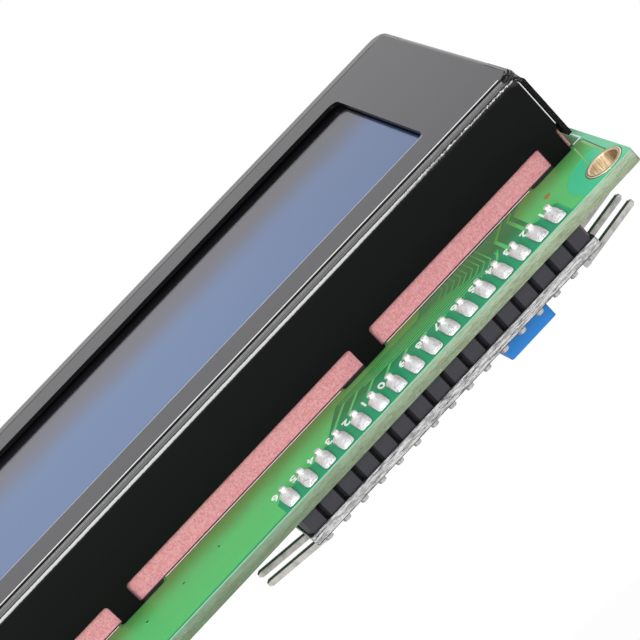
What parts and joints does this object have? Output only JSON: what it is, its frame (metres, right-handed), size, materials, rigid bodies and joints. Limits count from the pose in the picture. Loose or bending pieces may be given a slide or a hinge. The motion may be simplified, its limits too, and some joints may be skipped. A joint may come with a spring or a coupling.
{
  "type": "character lcd module",
  "caption": "Character display in a folded steel bezel on a green circuit board, with a serial adapter board soldered behind its pin row.",
  "frame": {"origin": "middle of the rectangle of mounting holes, on the front face of the main circuit board", "axes": "+Z out of the display's face, +X along the length away from pin 1, +Y towards the edge with the pin row"},
  "size_m": [0.098, 0.06, 0.0206],
  "materials": {
    "steel_black": "gloss black enamel on steel",
    "film": "glossy polarising film",
    "glass": "clear float glass",
    "rear_film": "pearly reflecting film",
    "strip_rubber": "pink silicone sponge",
    "white_plastic": "white moulded plastic",
    "clear_plastic": "clear acrylic",
    "board_green": "glass-epoxy board with green resist",
    "board_black": "glass-epoxy board with black resist",
    "lamp_board": "pale laminate",
    "lamp_resin": "cast resin",
    "gold": "gold plated copper",
    "pin_metal": "tin plated pin",
    "solder": "bright tin solder",
    "header_plastic": "dark grey moulded plastic",
    "resin_black": "black sealing resin",
    "chip_black": "black moulding compound",
    "trimmer_blue": "blue moulded plastic",
    "screw_white": "off-white moulded plastic",
    "ceramic": "ceramic with tinned ends"
  },
  "bodies": {
    "module": {"bezel": "steel_black", "front_film": "film", "front_glass": "glass", "rear_glass": "glass", "rear_film": "rear_film", "contact_strip_pin_side": "strip_rubber", "contact_strip_far_side": "strip_rubber", "diffuser_sheet": "white_plastic", "light_guide": "clear_plastic", "backlight_tray": "white_plastic", "lamp_board": "lamp_board", "backlight_lamps": "lamp_resin", "backlight_leads": "pin_metal", "board": "board_green", "hole_platings": "gold", "control_chip_drop": "resin_black", "driver_chip_drop_left": "resin_black", "driver_chip_drop_right": "resin_black", "board_resistors": "chip_black", "board_solder": "solder", "header_strip": "header_plastic", "header_pins": "pin_metal", "adapter_board": "board_black", "adapter_solder": "solder", "bus_header_block": "header_plastic", "bus_header_pins": "pin_metal", "jumper_header_block": "header_plastic", "jumper_header_pins": "pin_metal", "trimmer_body": "trimmer_blue", "trimmer_pins": "pin_metal", "port_chip": "chip_black", "port_chip_leads": "pin_metal", "transistor": "chip_black", "transistor_leads": "pin_metal", "power_lamp": "lamp_resin", "adapter_resistors": "chip_black", "adapter_capacitors": "ceramic"},
    "contrast_screw": {"trimmer_screw": "screw_white"}
  },
  "joints": [
    {"name": "contrast_turn", "type": "hinge", "parent": "module", "child": "contrast_screw", "pos_m": [-0.03035, 0.0187, -0.0101], "axis": [0, 0, -1], "range_deg": [-120, 120]}
  ]
}
